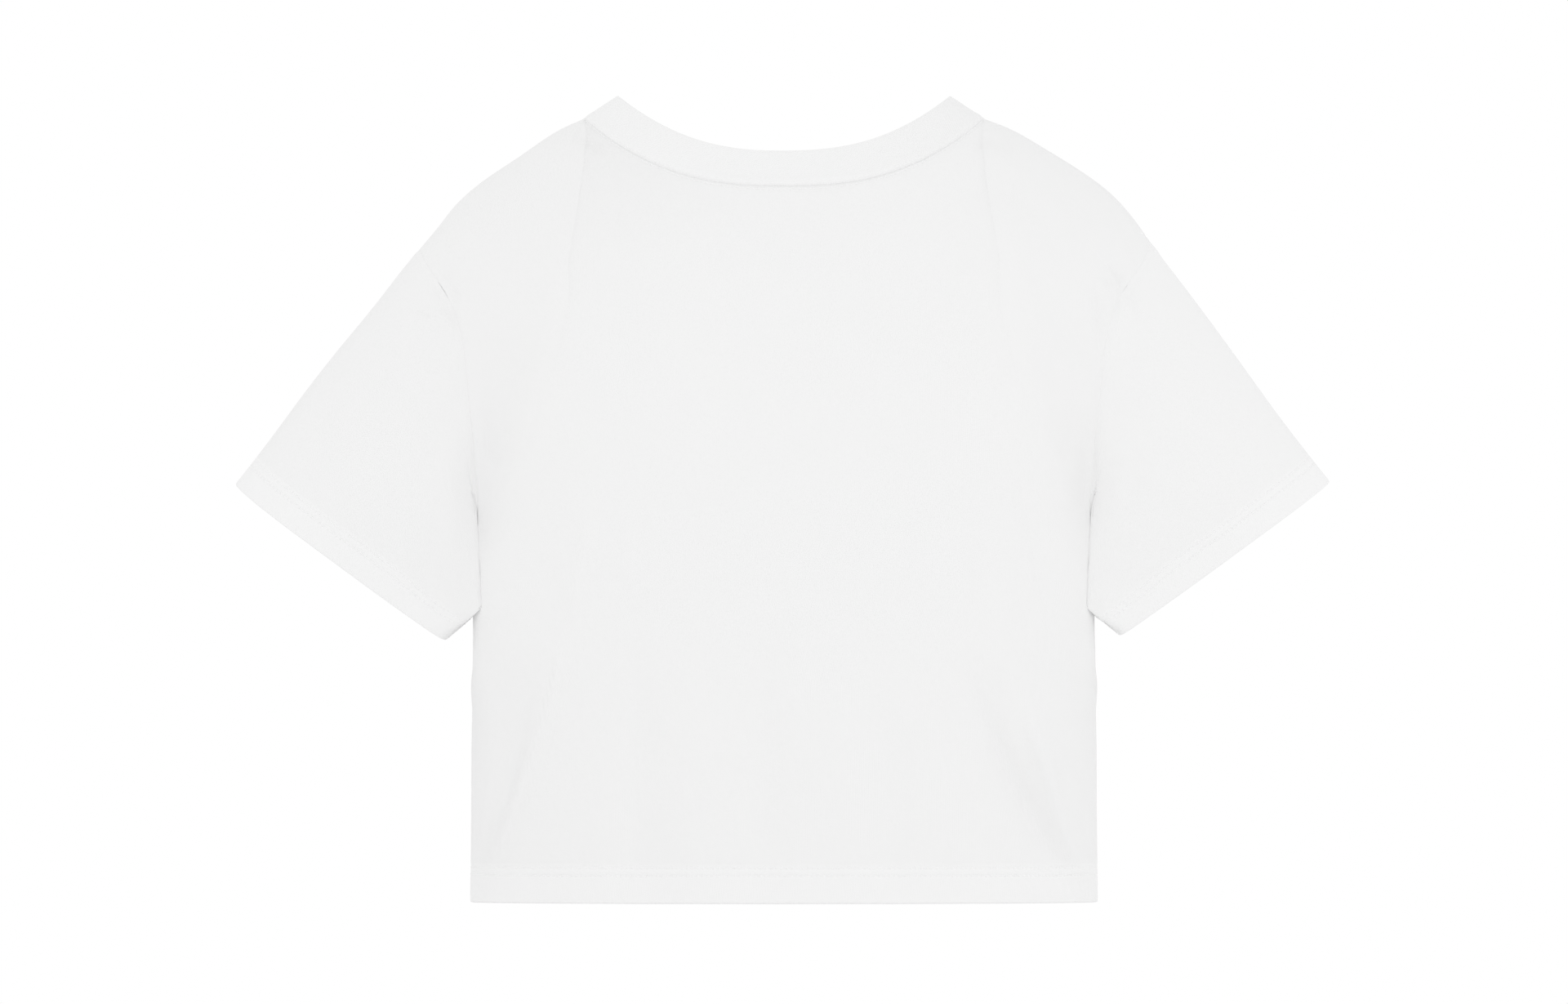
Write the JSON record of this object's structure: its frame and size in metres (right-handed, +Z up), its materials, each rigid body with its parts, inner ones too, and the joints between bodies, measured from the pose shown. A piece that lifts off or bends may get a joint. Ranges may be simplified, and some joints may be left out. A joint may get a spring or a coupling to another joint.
{
  "type": "t-shirt",
  "caption": "Short boxy crew-neck t-shirt in plain white jersey, filled out as worn but with no wearer, open at neck, hem and cuffs.",
  "frame": {"origin": "midway between the two points where the collar meets the shoulder line, at their height, where the wearer's shoulders hold the garment", "axes": "+Z up, +X to the wearer's right, +Y to the wearer's front, so the back faces -Y"},
  "size_m": [0.652, 0.2275, 0.4803],
  "materials": {
    "jersey": "matt cotton jersey",
    "rib": "matt cotton rib"
  },
  "bodies": {
    "root": {"back_panel": "jersey", "front_panel": "jersey", "sleeve_left": "jersey", "sleeve_right": "jersey", "collar": "rib"}
  },
  "joints": []
}
